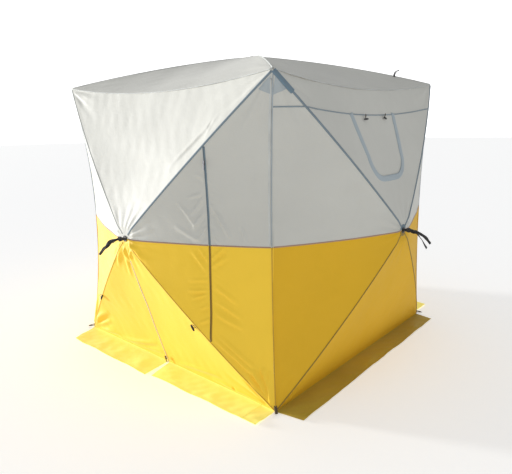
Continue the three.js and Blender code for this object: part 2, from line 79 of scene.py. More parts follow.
# How far each upright corner edge is drawn in at mid height, by the signs of its x and y.
EDGE_PULL = {(1, -1): 0.095, (-1, -1): 0.065, (1, 1): 0.025, (-1, 1): 0.045}

CLOTH_THICKNESS = 0.0012
GRID = {"front": 288, "right": 200, "roof": 120}  # cloth faces across a panel
PLAIN_GRID = 132

# The doors and the window, in their wall's x and in heights; "draw" is how far the zip bows.
SIDE_DOOR = {"zip": 0.545, "hinge": 0.800, "margin": 0.042, "draw": 0.034}
LOWER_DOOR = {"corner": 0.800, "apex": 0.750, "half_gap": 0.003}
WINDOW_TOP, WINDOW_SHOULDER, WINDOW_BOTTOM = 1.570, 1.330, 1.178
WINDOW_HALF = {"top": 0.272, "shoulder": 0.224}
WINDOW_CENTRE = {"top": -0.038, "shoulder": -0.027}
WINDOW_RADIUS = 0.148
WINDOW_BAND = 0.036

# The signs of a panel's four corners.
CORNERS = [(sx, sy) for sx in (-1, 1) for sy in (-1, 1)]


# ---- panels ----
class Panel:
    """One wall or the roof, with its own x, y and n axes."""

    def __init__(self, name, across, up, out, bulge, pulls):
        self.name = name
        self.across = np.array(across, float)
        self.up = np.array(up, float)
        self.out = np.array(out, float)
        self.is_wall = name != "roof"
        self.half_up = HALF_UP if self.is_wall else HALF
        lift = HALF_UP if self.is_wall else WALL_TOP
        self.centre = self.out * HALF * self.is_wall + np.array([0, 0, lift])
        self.bulge = bulge
        self.pulls = pulls
        self.hub = "hub_" + name

    def world(self, x, y, n):
        x, y, n = np.broadcast_arrays(x, y, n)
        return (
            self.centre
            + x[..., None] * self.across
            + y[..., None] * self.up
            + n[..., None] * self.out
        )


UP = (0, 0, 1)
# The pulls are those of the edges at x < 0 and x > 0.
FRONT = Panel("front", (1, 0, 0), UP, (0, -1, 0), WALL_BULGE, (EDGE_PULL[-1, -1], EDGE_PULL[1, -1]))
RIGHT = Panel("right", (0, 1, 0), UP, (1, 0, 0), WALL_BULGE, (EDGE_PULL[1, -1], EDGE_PULL[1, 1]))
BACK = Panel("back", (-1, 0, 0), UP, (0, 1, 0), WALL_BULGE, (EDGE_PULL[1, 1], EDGE_PULL[-1, 1]))
LEFT = Panel("left", (0, -1, 0), UP, (-1, 0, 0), WALL_BULGE, (EDGE_PULL[-1, 1], EDGE_PULL[-1, -1]))
ROOF = Panel("roof", (1, 0, 0), (0, 1, 0), UP, ROOF_BULGE, (0, 0))
WALLS = (FRONT, RIGHT, BACK, LEFT)


def smooth(low, high, value):
    """0 up to low, 1 from high on, with a soft step between."""
    t = np.clip((value - low) / (high - low), 0, 1)
    return t * t * (3 - 2 * t)


def reach_of(a, b):
    """0 over the hub's flat cap, 1 at the panel's edge."""
    reach = np.maximum(abs(a), abs(b))
    return np.maximum(0, (reach - CAP) / (1 - CAP))


def shape(panel, a, b):
    """The taut cloth, without wrinkles: x, y and n over shares a and b of the panel's half sizes."""
    reach = np.maximum(abs(a), abs(b))
    q = reach_of(a, b)
    diagonal = np.minimum(abs(a), abs(b)) / np.maximum(reach, 1e-9)
    n = panel.bulge * (1 - q) + 4 * ROD_BOW * q * (1 - q) * diagonal**2
    if not panel.is_wall:
        return a * HALF, b * HALF, n + EAVE_GAP - EAVE_SAG * abs(a * a - b * b)
    pull = np.where(a > 0, panel.pulls[1], panel.pulls[0]) * np.maximum(0, a * a - b * b)
    sag = np.where(b > 0, EAVE_SAG, 0) * np.maximum(0, b * b - a * a)
    return a * HALF - np.sign(a) * pull, b * (panel.half_up - WALL_TRIM) - sag, n - pull


def shares(panel, x, y):
    """The shares a and b whose cloth lies over x and y."""
    a, b = x / HALF, y / panel.half_up
    for _ in range(25):
        px, py, _n = shape(panel, a, b)
        a = a + (x - px) / HALF
        b = b + (y - py) / panel.half_up
    return a, b


# ---- wrinkles ----
def ripple(x, y, per_metre, seed):
    """A smooth uneven field between about -1 and 1."""
    draw = np.random.default_rng(seed)
    total = np.zeros_like(x)
    for _ in range(7):
        angle, phase = draw.uniform(0, 2 * math.pi, 2)
        rate = 2 * math.pi * per_metre * draw.uniform(0.6, 1.5)
        total += np.sin(rate * (x * math.cos(angle) + y * math.sin(angle)) + phase)
    return total / 4


def puckers(x, y, line_x, low, high, spacing, reach, slant, height, seed):
    """Short folds that cross an upright seam, slanting down away from it."""
    away = abs(x - line_x)
    side = np.sign(line_x - x)
    phase = (y + slant * away) / spacing + 0.5 * ripple(x, y, 3, seed) + 0.2 * side
    window = np.exp(-((away / reach) ** 1.3)) * smooth(low - 0.05, low + 0.05, y)
    window = window * (1 - smooth(high - 0.05, high + 0.05, y))
    uneven = 0.6 + 0.4 * ripple(x * 0.3, y, 2.5, seed + 1)
    return height * window * uneven * np.sin(2 * math.pi * phase)


def hub_gathers(x, y, height, seed):
    """Folds all round a hub, where four seams meet."""
    r = np.hypot(x, y)
    angle = np.arctan2(y, x)
    ring = smooth(0.035, 0.085, r) * (1 - smooth(0.09, 0.34, r)) ** 1.6
    uneven = 0.65 + 0.35 * np.sin(3 * angle + seed)
    return height * ring * uneven * np.sin(17 * angle + 1.5 * np.sin(2 * angle + seed) + 6 * r)


def corner_fans(panel, x, y, height, seed):
    """Folds that run out of each corner towards the hub and fade with distance."""
    spread, count, near, far = math.radians(46), 15, 0.10, 0.55
    total = np.zeros_like(x)
    for sx, sy in CORNERS:
        own_seed = seed + sx + 2 * sy
        dx, dy = x - sx * HALF * 0.99, y - sy * panel.half_up * 0.99
        r = np.hypot(dx, dy)
        turn = np.arctan2(dy, dx) - math.atan2(-sy * panel.half_up, -sx * HALF)
        turn = np.arctan2(np.sin(turn), np.cos(turn))
        ring = smooth(0.15 * near, near, r) * (1 - smooth(near, far, r)) ** 1.5
        side = np.exp(-((turn / spread) ** 4))
        crest = np.sin(count * turn + 0.7 * ripple(x, y, 5, own_seed) + own_seed)
        crest += 0.35 * np.sin(2.3 * count * turn + 2 * own_seed)
        total += height * ring * side * crest
    return total


def crease(x, y, fold):
    """One fold, tapered at both ends and bent aside in its middle."""
    x0, y0, x1, y1, width, height, bend = (value / 1000 for value in fold)
    length = math.hypot(x1 - x0, y1 - y0)
    tx, ty = (x1 - x0) / length, (y1 - y0) / length
    along = np.clip(((x - x0) * tx + (y - y0) * ty) / length, 0, 1)
    taper = np.sin(math.pi * along) ** 0.7
    away = (y - y0) * tx - (x - x0) * ty - bend * taper
    ridge = np.exp(-((away / width) ** 2))
    hollow = np.exp(-(((away + 1.9 * width) / (1.3 * width)) ** 2))
    return height * taper * (ridge - 0.55 * hollow)


# Folds of the front wall in millimetres: the x and y of the start and of the end, then the half
# width, the height and the bend.
FRONT_CREASES = (
    # beside the side zip, above the waist
    (360, 235, 445, 85, 11, 5, 10),
    (415, 255, 505, 285, 8, 3.5, 0),
    (420, 160, 505, 270, 8, 5, -6),
    (430, 75, 508, 190, 9, 5.5, 6),
    (455, 20, 508, 110, 8, 4.5, 0),
    (330, 100, 470, 15, 14, 4, 0),
    (530, 225, 612, 40, 10, 6.5, 6),
    (520, 90, 560, 10, 7, 3.5, 0),
    (672, 110, 688, 20, 7, 4, 0),
    # beside the side zip, below the waist
    (515, -85, 585, -5, 8, 6, 0),
    (515, -130, 600, -60, 9, 4.5, 4),
    (455, -15, 503, -90, 9, 5.5, 0),
    (415, -30, 500, -150, 10, 4, 0),
    (400, -262, 512, -250, 8, 5.5, 0),
    (420, -305, 520, -268, 7, 4, 0),
    (400, -205, 508, -190, 8, 3.5, 0),
    (535, -225, 660, -320, 10, 5.5, 4),
    (540, -300, 690, -400, 10, 5, 0),
    (545, -370, 700, -455, 11, 5.5, 0),
    (470, -440, 535, -405, 8, 4, 0),
    (470, -360, 525, -330, 7, 3.5, 0),
    # the doubled cloth along the lower seam to the corner at x > 0
    (560, -512, 815, -735, 10, 8.5, 4),
    (585, -498, 780, -665, 9, 6.5, 0),
    # gathers over that corner's foot
    (735, -690, 858, -850, 10, 13, 0),
    (768, -665, 870, -852, 10, 16, 4),
    (804, -655, 878, -850, 10, 16, 4),
    (840, -670, 884, -846, 9, 13, 0),
    # the hood of cloth under the hub
    (0, -30, 115, -60, 12, 11, 10),
    (20, -12, 130, -115, 11, 8.5, 8),
    (10, -125, 60, -45, 9, 7, 0),
    (-30, -45, -10, -150, 10, 6, 0),
    (-55, -30, -150, -210, 14, 5.5, 0),
    (-20, -70, -55, -260, 14, 4.5, 0),
    # out of the other corner's foot
    (-885, -860, -520, -640, 20, 10, 20),
    (-885, -870, -560, -720, 16, 8.5, 0),
    (-880, -850, -740, -520, 18, 8.5, -15),
    (-870, -880, -500, -830, 16, 7, 10),
    (-560, -855, -50, -740, 20, 7.5, -20),
    (-400, -870, -30, -810, 14, 5.5, 0),
    (120, -850, 520, -800, 16, 5, 10),
    (420, -845, 790, -860, 14, 5, 0),
    # along the upper seam
    (300, 415, 620, 690, 12, 3.5, 0),
    (480, 395, 560, 330, 10, 3, 0),
)
CREASE_DEPTH = 1.6  # what every fold's height is multiplied by


def front_wrinkles(x, y):
    beside_zip = zip_line(y)
    total = puckers(x, y, beside_zip, -0.42, 0.34, 0.036, 0.055, 0.7, 0.0016, 11)
    total += np.where(y > 0, 0.45, 0.35) * hub_gathers(x, y, 0.0048, 5)
    for fold in FRONT_CREASES:
        total += CREASE_DEPTH * crease(x, y, fold)
    # No fold sinks the cloth onto the hub's sockets.
    over_hub = 1 - smooth(0.09, 0.18, np.hypot(x, y))
    total = np.where(total < 0, total * (1 - over_hub), total)
    return total * smooth(0.004, 0.016, abs(x - beside_zip))


def wrinkles(panel, x, y):
    """How far the wrinkled cloth stands out from the taut one."""
    seed = 20 + 7 * len(panel.name) + ord(panel.name[0])
    a, b = x / HALF, y / panel.half_up
    inside = 1 - smooth(0.965, 1.0, np.maximum(abs(a), abs(b)))
    on_rod = np.exp(-(((abs(a) - abs(b)) * HALF * 0.7 / 0.013) ** 2))
    total = 0.0022 * ripple(x, y, 2.6, seed) + 0.0007 * ripple(x, y, 9, seed + 1)
    total = total + hub_gathers(x, y, 0.0030, seed) + corner_fans(panel, x, y, 0.0034, seed)
    if panel is FRONT:
        total = total + front_wrinkles(x, y)
    return total * (0.12 + 0.88 * inside) * (1 - 0.85 * on_rod)


def cloth_n(panel, x, y):
    """How far out the cloth's face is over x and y."""
    a, b = shares(panel, x, y)
    return shape(panel, a, b)[2] + wrinkles(panel, x, y)


# ---- outlines of the openings, in a panel's x and y ----
SLOPE = HALF_UP / HALF


def zip_line(y):
    """Where the side zip lies at a height: the corner's pull draws its middle towards the hub."""
    return SIDE_DOOR["zip"] - SIDE_DOOR["draw"] * (1 - (y / 0.5) ** 2)


def side_outline(grow=0.0, steps=9):
    low, high = SIDE_DOOR["zip"] - grow, SIDE_DOOR["hinge"] + grow
    margin = SIDE_DOOR["margin"] - grow * math.sqrt(2)
    y0, y1 = low * SLOPE - margin, high * SLOPE - margin
    zip_side = [(zip_line(y) - grow, y) for y in np.linspace(y0, -y0, steps)]
    return [(high, -y1), (high, y1)] + zip_side


LOWER_APEX = -HALF_UP + LOWER_DOOR["apex"]
LOWER_FOOT = -HALF_UP + 0.004
HINGE_SLOPE = (LOWER_APEX - LOWER_FOOT) / (LOWER_DOOR["corner"] - LOWER_DOOR["half_gap"])


def lower_outline(grow=0.0):
    lift = grow * math.hypot(1, HINGE_SLOPE)
    low = -HALF_UP - 0.05
    wide = LOWER_DOOR["corner"] + (lift + LOWER_FOOT - low) / HINGE_SLOPE
    top = LOWER_APEX + LOWER_DOOR["half_gap"] * HINGE_SLOPE + lift
    return [(-wide, low), (wide, low), (0.0, top)]


def window_outline(grow, top=WINDOW_TOP, steps=6):
    """Widest at the top and round below, grown by a margin; anticlockwise from its lower middle."""
    middle, shoulder_half = WINDOW_CENTRE["shoulder"], WINDOW_HALF["shoulder"]
    share = (top - WINDOW_SHOULDER) / (WINDOW_TOP - WINDOW_SHOULDER)
    top_middle = middle + (WINDOW_CENTRE["top"] - middle) * share
    top_half = shoulder_half + (WINDOW_HALF["top"] - shoulder_half) * share
    rounded = WINDOW_RADIUS + grow
    arc_y = WINDOW_BOTTOM + WINDOW_RADIUS - HALF_UP
    points = []
    for side in (1, -1):
        arc_x = middle + side * (shoulder_half - WINDOW_RADIUS)
        half = []
        for angle in np.linspace(0, math.pi / 2, steps + 1):
            across = arc_x + side * rounded * math.sin(angle)
            half.append((across, arc_y - rounded * math.cos(angle)))
        half.append((middle + side * (shoulder_half + grow), WINDOW_SHOULDER - HALF_UP))
        half.append((top_middle + side * (top_half + grow), top - HALF_UP))
        points += half if side > 0 else half[::-1]
    return points


def inside(outline, x, y):
    """Whether each point lies in a convex outline given anticlockwise."""
    result = np.ones(x.shape, bool)
    for (x0, y0), (x1, y1) in zip(outline, outline[1:] + outline[:1]):
        result &= (x1 - x0) * (y - y0) - (y1 - y0) * (x - x0) >= 0
    return result


# ---- mesh helpers ----
def new_object(name, vertices, faces, material, uv=None):
    mesh = bpy.data.meshes.new(name)
    mesh.from_pydata([tuple(v) for v in vertices], [], faces)
    mesh.validate()
    if uv is not None:
        layer = mesh.uv_layers.new(name="UVMap")
        index = np.zeros(len(mesh.loops), int)
        mesh.loops.foreach_get("vertex_index", index)
        layer.data.foreach_set("uv", np.asarray(uv, np.float32)[index].ravel())
    mesh.polygons.foreach_set("use_smooth", [True] * len(mesh.polygons))
    mesh.materials.append(material)
    piece = bpy.data.objects.new(name, mesh)
    bpy.context.scene.collection.objects.link(piece)
    return piece


def grid_faces(columns, rows):
    """The faces between the vertices of a grid, which are in order along its rows."""
    corner = (np.arange(rows)[:, None] * (columns + 1) + np.arange(columns)[None, :]).ravel()
    return np.stack([corner, corner + 1, corner + columns + 2, corner + columns + 1], 1).tolist()


def flat_grid(panel):
    """The panel's cloth laid flat in its x and y, as a bmesh."""
    count = GRID.get(panel.name, PLAIN_GRID)
    line = np.linspace(-1, 1, count + 1)
    a, b = np.meshgrid(line, line)
    x, y, _ = shape(panel, a.ravel(), b.ravel())
    mesh = bpy.data.meshes.new("flat")
    vertices = np.stack([x, y, np.zeros_like(x)], 1).tolist()
    mesh.from_pydata(vertices, [], grid_faces(count, count))
    grid = bmesh.new()
    grid.from_mesh(mesh)
    bpy.data.meshes.remove(mesh)
    return grid


def cut_along(grid, outline):
    for (x0, y0), (x1, y1) in zip(outline, outline[1:] + outline[:1]):
        geometry = grid.verts[:] + grid.edges[:] + grid.faces[:]
        bmesh.ops.bisect_plane(
            grid,
            geom=geometry,
            dist=1e-5,
            plane_co=(x0, y0, 0),
            plane_no=(y1 - y0, x0 - x1, 0),
        )


def split_cloth(panel, outlines, label):
    """Cuts the panel's flat cloth along outlines and sorts its faces by label(x, y)."""
    grid = flat_grid(panel)
    for outline in outlines:
        cut_along(grid, outline)
    grid.verts.ensure_lookup_table()
    places = np.array([v.co[:2] for v in grid.verts])
    faces = [[v.index for v in f.verts] for f in grid.faces]
    centres = np.array([places[f].mean(0) for f in faces])
    names = label(centres[:, 0], centres[:, 1])
    grid.free()
    cloths = {}
    for key in sorted(set(names) - {""}):
        chosen = [f for f, n in zip(faces, names) if n == key]
        used = sorted({i for f in chosen for i in f})
        order = {old: new for new, old in enumerate(used)}
        cloths[key] = (places[used], [[order[i] for i in f] for f in chosen])
    return cloths


def thin(piece, thickness=CLOTH_THICKNESS):
    """Gives the sheet its thickness. Its border is sharp, so that the cut edge shades by itself."""
    mesh = piece.data
    uses = np.zeros(len(mesh.edges), int)
    loop_edges = np.zeros(len(mesh.loops), int)
    mesh.loops.foreach_get("edge_index", loop_edges)
    np.add.at(uses, loop_edges, 1)
    border = mesh.attributes.new("sharp_edge", "BOOLEAN", "EDGE")
    border.data.foreach_set("value", uses == 1)
    solid = piece.modifiers.new("thickness", "SOLIDIFY")
    solid.thickness = thickness
    solid.offset = -1
    return piece


def cloth_piece(name, panel, cloth, material, lift=0.0):
    places, faces = cloth
    x, y = places[:, 0], places[:, 1]
    vertices = panel.world(x, y, cloth_n(panel, x, y) + lift)
    return thin(new_object(name, vertices, faces, material, places))


SEAM_SHARE = 1.01  # a cloth's own area over what shows of it, with its seams
HEM_SHARE = 1.04  # a flat cloth's sides over its spans, with its hems
LEAST_SIDE = 0.05
LEAST_FILL = 0.31  # the share of its flat rectangle that a cloth fills at least


def declare_cloth(piece):
    """Works out how large the cloth was cut."""
    area = sum(p.area for p in piece.data.polygons) * SEAM_SHARE
    places = np.zeros(3 * len(piece.data.vertices), np.float32)
    piece.data.vertices.foreach_get("co", places)
    spans = sorted(map(float, np.ptp(places.reshape(-1, 3), axis=0)), reverse=True)
    width = max(spans[0] * HEM_SHARE, LEAST_SIDE)
    length = max(spans[1] * HEM_SHARE, area / width * 1.001, LEAST_SIDE)
    length = min(length, area / width / LEAST_FILL)


PATH_STEP = 0.010


def flat_path(panel, a, b):
    """The x and y of the places at shares a and b of a panel."""
    x, y, _n = shape(panel, a, b)
    return np.stack([x, y], 1)


def line_path(start, end):
    way = np.subtract(end, start)
    t = np.linspace(0, 1, max(2, int(math.hypot(*way) / PATH_STEP) + 1))
    return start + t[:, None] * way


def run_along(points):
    """The distance from the first point to each point, along the way."""
    gaps = np.linalg.norm(np.diff(points, axis=0), axis=1)
    return np.concatenate([[0], np.cumsum(gaps)])


def unit(vectors):
    return vectors / np.linalg.norm(vectors, axis=1)[:, None]


def resample(points):
    points = np.array(points, float)
    run = run_along(points)
    t = np.linspace(0, run[-1], max(2, int(run[-1] / PATH_STEP) + 1))
    return np.stack([np.interp(t, run, points[:, k]) for k in range(points.shape[1])], 1)


# Half profiles of sewn strips, as shares of the width and of the height.
ROUND = [(-0.5, 0.0), (-0.38, 0.62), (-0.15, 0.95), (0.15, 0.95), (0.38, 0.62), (0.5, 0.0)]
FLAT = [(-0.5, 0.2), (-0.47, 1.0), (-0.2, 1.0), (0.2, 1.0), (0.47, 1.0), (0.5, 0.2)]
COIL = [(-0.5, 0.3), (-0.47, 0.5), (-0.17, 0.5), (-0.13, 1.0)]
COIL += [(-across, rise) for across, rise in COIL[::-1]]
UNDERSIDE = [(0.5, -0.4), (-0.5, -0.4)]
WEBBING = [(-0.5, -0.3), (-0.5, 0.3), (-0.44, 0.5), (0.44, 0.5), (0.5, 0.3), (0.5, -0.3)]
WEBBING += [(0.44, -0.5), (-0.44, -0.5)]


def swept(name, vertices, stations, material, uv):
    """A closed body through the vertices of equal sections, each given at its station."""
    count = len(vertices) // stations
    faces = []
    for i in range(stations - 1):
        for k in range(count):
            a, b = i * count + k, i * count + (k + 1) % count
            faces.append([a, a + count, b + count, b])
    faces.append(list(range(count)))
    faces.append(list(range((stations - 1) * count, stations * count))[::-1])
    piece = new_object(name, vertices, faces, material, uv)
    face_outwards(piece)
    return piece


def strip(name, panel, path, width, height, material, profile=ROUND, lift=0.0):
    """A narrow closed strip that follows the cloth, and its vertices' places in x and y."""
    path = np.asarray(path, float)
    tangent = unit(np.gradient(path, axis=0))
    side = np.stack([tangent[:, 1], -tangent[:, 0]], 1)
    across, rise = np.array(profile + UNDERSIDE).T
    places = path[:, None, :] + side[:, None, :] * (across * width)[None, :, None]
    x, y = places[..., 0].ravel(), places[..., 1].ravel()
    centre = np.repeat(cloth_n(panel, path[:, 0], path[:, 1]), len(across))
    n = 0.5 * (centre + cloth_n(panel, x, y)) + lift + np.tile(rise * height, len(path))
    uv = np.stack([np.repeat(run_along(path), len(across)), np.tile(across * 2, len(path))], 1)
    piece = swept(name, panel.world(x, y, n), len(path), material, uv)
    return piece, np.stack([x, y], 1)


def face_outwards(piece):
    shell = bmesh.new()
    shell.from_mesh(piece.data)
    bmesh.ops.recalc_face_normals(shell, faces=shell.faces[:])
    shell.to_mesh(piece.data)
    shell.free()


def follow_hub(piece, panel):
    """Bakes the piece's transform into its mesh."""
    start, end = panel.world(0.0, 0.0, 0.0), panel.world(0.0, 0.0, panel.bulge)
    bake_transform(piece)
    return piece


def strip_on_hub(name, panel, path, *looks):
    """The looks are strip's width, height, material, profile and lift."""
    piece, places = strip(name, panel, path, *looks)
    return follow_hub(piece, panel)


def strip_on_body(name, body, panel, path, *looks):
    piece, _places = strip(name, panel, path, *looks)
    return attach(piece, body)


def tube(name, points, radius, material, sides=10, taper=None):
    """A round closed tube along points, thinner at each point by taper."""
    points = np.asarray(points, float)
    tangent = unit(np.gradient(points, axis=0))
    steep = abs(tangent[0][2]) >= 0.8
    normal = np.cross(tangent[0], [1.0, 0.0, 0.0] if steep else [0.0, 0.0, 1.0])
    run = run_along(points)
    vertices, uv = [], []
    for i, (p, t) in enumerate(zip(points, tangent)):
        normal = normal - t * (normal @ t)
        normal /= np.linalg.norm(normal)
        other = np.cross(t, normal)
        size = radius * (1.0 if taper is None else taper[i])
        for k in range(sides):
            angle = 2 * math.pi * k / sides
            vertices.append(p + size * (math.cos(angle) * normal + math.sin(angle) * other))
            uv.append((run[i], k / sides * 2 - 1))
    return swept(name, vertices, len(points), material, uv)


def ribbon(name, points, widths, thickness, sides, material):
    """A flat webbing band along points; sides gives the direction of its width at each point."""
    points = np.asarray(points, float)
    sides = unit(np.asarray(sides, float))
    up = unit(np.cross(sides, unit(np.gradient(points, axis=0))))
    run = run_along(points)
    vertices, uv = [], []
    for i, p in enumerate(points):
        for across, rise in WEBBING:
            vertices.append(p + sides[i] * across * widths[i] + up[i] * rise * thickness)
            uv.append((run[i], across * 2))
    return swept(name, vertices, len(points), material, uv)


# ---- materials ----
class Nodes:
    """A small helper to write a material's nodes in one line each."""

    def __init__(self, name):
        self.material = bpy.data.materials.new(name)
        self.material.use_nodes = True
        self.tree = self.material.node_tree
        self.shader = self.tree.nodes["Principled BSDF"]
        place = self.add("TexCoord").outputs
        self.uv, self.object = place["UV"], place["Object"]

    def add(self, kind, inputs=None, **settings):
        node = self.tree.nodes.new("ShaderNode" + kind)
        for key, value in settings.items():
            setattr(node, key, value)
        for key, value in (inputs or {}).items():
            self.set(node, key, value)
        return node

    def set(self, node, key, value):
        if isinstance(value, bpy.types.NodeSocket):
            self.tree.links.new(value, node.inputs[key])
        else:
            node.inputs[key].default_value = value

    def look(self, **values):
        """Sets the shader's own inputs; an underscore stands for a space in their names."""
        for key, value in values.items():
            self.set(self.shader, key.replace("_", " "), value)

    def math(self, operation, first, second=0.0):
        return self.add("Math", {0: first, 1: second}, operation=operation).outputs[0]

    def plus(self, first, second):
        return self.math("ADD", first, second)

    def times(self, first, second):
        return self.math("MULTIPLY", first, second)

    def noise(self, scale, detail, roughness=0.5, vector=None):
        inputs = {"Vector": vector or self.object, "Scale": scale, "Detail": detail}
        return self.add("TexNoise", inputs | {"Roughness": roughness}).outputs[0]

    def wave(self, scale, axis):
        """Even ribs; 0 to 1 along one axis of the uv."""
        inputs = {"Vector": self.uv, "Scale": scale}
        return self.add("TexWave", inputs, bands_direction=axis).outputs[1]

    def mix(self, share, first, second):
        node = self.add("Mix", {0: share, 6: first, 7: second}, data_type="RGBA")
        return node.outputs[2]

    def ramp(self, value, low, high):
        """0 up to low, 1 from high on."""
        node = self.add("ValToRGB", {0: value})
        node.color_ramp.elements[0].position = low
        node.color_ramp.elements[1].position = high
        return node.outputs[0]

    def bump(self, height, strength, distance, normal=None):
        node = self.add("Bump", {"Height": height, "Strength": strength, "Distance": distance})
        if normal is not None:
            self.set(node, "Normal", normal)
        return node.outputs[0]


def tint(colour, factor=1.0):
    return tuple(min(1.0, c * factor) for c in colour[:3]) + (1.0,)


def cloth_material(name, colour, roughness, shade=0.90, sheen=0.15, glow=0.0, glow_colour=None):
    """Coated polyester cloth: a fine weave, soft crumples and slight stains. The glow is painted light,
    an even emission standing in for the light that comes through the cloth from the other side."""
    n = Nodes(name)
    tone, stain = n.noise(1.7, 3), n.noise(6.5, 6)
    ridge = n.math("ABSOLUTE", n.math("SUBTRACT", n.noise(15, 4, 0.55), 0.5))
    rips = n.ramp(n.math("MAXIMUM", n.wave(42, "X"), n.wave(42, "Y")), 0.965, 1.0)
    base = n.mix(n.ramp(tone, 0.35, 0.68), tint(colour, shade), tint(colour))
    base = n.mix(n.times(n.ramp(stain, 0.52, 0.78), 0.22), base, tint(colour, shade * 0.93))
    base = n.mix(n.times(rips, 0.10), base, tint(colour, 0.80))
    n.look(Base_Color=base, Roughness=n.plus(n.times(stain, 0.16), roughness - 0.08))
    n.look(Sheen_Weight=sheen, Sheen_Roughness=0.45, Specular_IOR_Level=0.35)
    n.look(Emission_Color=tint(glow_colour or colour), Emission_Strength=glow)
    weave = n.plus(n.times(n.wave(330, "X"), n.wave(330, "Y")), n.times(rips, 1.2))
    n.look(Normal=n.bump(weave, 0.25, 0.00025, n.bump(ridge, 0.35, 0.006)))
    return n.material


def tape_material(name, colour, stitch):
    """Woven tape with a row of stitches near each edge; uv is metres along and -1 to 1 across."""
    n = Nodes(name)
    along, across = n.add("SeparateXYZ", {0: n.uv}).outputs[:2]
    ribs, tone = n.wave(210, "X"), n.noise(9, 4)
    from_row = n.math("ABSOLUTE", n.math("SUBTRACT", n.math("ABSOLUTE", across), 0.72))
    dash = n.math("GREATER_THAN", n.math("FRACT", n.times(along, 220.0)), 0.35)
    stitches = n.times(n.math("LESS_THAN", from_row, 0.07), dash)
    base = n.mix(n.ramp(tone, 0.3, 0.7), tint(colour, 0.84), tint(colour, 1.08))
    base = n.mix(n.times(ribs, 0.18), base, tint(colour, 0.7))
    n.look(Base_Color=n.mix(n.times(stitches, 0.75), base, tint(stitch)))
    n.look(Roughness=n.plus(n.times(tone, 0.2), 0.65), Sheen_Weight=0.2)
    n.look(Normal=n.bump(n.plus(n.times(ribs, 0.4), stitches), 0.5, 0.0004))
    return n.material


def zip_material(name, tape, teeth):
    """A coil zip: tape with a raised row of teeth down its middle."""
    n = Nodes(name)
    across = n.add("SeparateXYZ", {0: n.uv}).outputs[1]
    middle = n.math("LESS_THAN", n.math("ABSOLUTE", across), 0.32)
    tooth = n.wave(120, "X")
    base = n.mix(n.times(n.wave(260, "X"), 0.2), tint(tape), tint(tape, 0.75))
    coil = n.mix(tooth, tint(teeth, 0.45), tint(teeth, 1.1))
    n.look(Base_Color=n.mix(middle, base, coil))
    n.look(Roughness=n.math("SUBTRACT", 0.75, n.times(middle, 0.3)))
    n.look(Normal=n.bump(n.times(tooth, middle), 0.8, 0.0010))
    return n.material


def webbing_material(name, colour):
    """Ribbed webbing, rounder towards its edges."""
    n = Nodes(name)
    rib = n.wave(170, "X")
    base = n.mix(rib, tint(colour, 0.55), tint(colour, 1.6))
    n.look(Base_Color=n.mix(n.times(n.noise(40, 4), 0.5), base, tint(colour, 2.0)))
    n.look(Roughness=0.72, Sheen_Weight=0.3)
    n.look(Normal=n.bump(n.times(rib, n.wave(0.9, "Y")), 0.6, 0.0006))
    return n.material


def plastic_material(name, colour, roughness, streak=(30.0, 30.0, 30.0), metallic=0.0, coat=0.0):
    """Moulded plastic, rod or metal with fine surface noise and lighter worn edges."""
    n = Nodes(name)
    grain = n.noise(12, 5, vector=n.add("Mapping", {0: n.object, 3: streak}).outputs[0])
    worn = n.ramp(n.add("NewGeometry").outputs["Pointiness"], 0.51, 0.60)
    base = n.mix(n.ramp(grain, 0.3, 0.75), tint(colour, 0.8), tint(colour, 1.25))
    n.look(Base_Color=n.mix(n.times(worn, 0.35), base, tint(colour, 2.4)))
    n.look(Roughness=n.plus(n.times(grain, 0.18), roughness - 0.09))
    n.look(Metallic=metallic, Coat_Weight=coat, Normal=n.bump(grain, 0.18, 0.0006))
    return n.material


def clear_material(name):
    """Soft window film, a little hazy."""
    n = Nodes(name)
    haze = n.noise(7, 5)
    n.look(Base_Color=(0.80, 0.85, 0.88, 1), Roughness=n.plus(n.times(haze, 0.14), 0.03))
    n.look(Alpha=0.35, Normal=n.bump(haze, 0.25, 0.004))
    return n.material


# The glows below are painted light: an emission that brightens the cloth without a lamp.
GLOW = (1.0, 0.84, 0.09)  # lit yellow cloth, seen through
SKIRT_GLOW = (1.0, 0.84, 0.20)
WHITE = cloth_material("upper_cloth", (0.62, 0.62, 0.575), 0.62, shade=0.94, glow=0.02)
YELLOW = cloth_material("lower_cloth", (0.88, 0.54, 0.03), 0.60, 0.94, glow=0.14, glow_colour=GLOW)
# A darker copy of the lower cloth with next to no glow: painted shade for the walls away from the light.
SHADED_YELLOW = cloth_material("lower_cloth_deep", (0.83, 0.49, 0.018), 0.72, 0.94, 0.0, glow=0.01)
SKIRT = cloth_material("skirt_cloth", (0.86, 0.78, 0.18), 0.64, 0.88, 0.15, 0.36, SKIRT_GLOW)
# A darker copy of the skirt cloth without glow: painted shade for the skirt on the window side.
SHADED_SKIRT = cloth_material("skirt_cloth_deep", (0.56, 0.40, 0.04), 0.64, 0.82)
SEAM_GREY = tape_material("seam_tape_grey", (0.19, 0.25, 0.295), (0.36, 0.42, 0.46))
SEAM_OLIVE = tape_material("seam_tape_olive", (0.36, 0.22, 0.015), (0.55, 0.36, 0.05))
WAIST = tape_material("waist_piping", (0.42, 0.26, 0.19), (0.55, 0.35, 0.2))
EDGE_WHITE = tape_material("edge_binding_white", (0.40, 0.46, 0.50), (0.58, 0.60, 0.60))
HEM_WHITE = tape_material("edge_hem_white", (0.60, 0.62, 0.60), (0.52, 0.55, 0.56))
HEAD_SEAM = tape_material("head_seam_grey", (0.26, 0.32, 0.36), (0.42, 0.47, 0.50))
EDGE_YELLOW = tape_material("edge_binding_yellow", (0.66, 0.40, 0.03), (0.58, 0.36, 0.04))
SEAM_YELLOW = tape_material("seam_tape_yellow", (0.72, 0.46, 0.03), (0.80, 0.55, 0.06))
PATCH = cloth_material("reinforcement_blue", (0.165, 0.245, 0.31), 0.66, sheen=0.2)
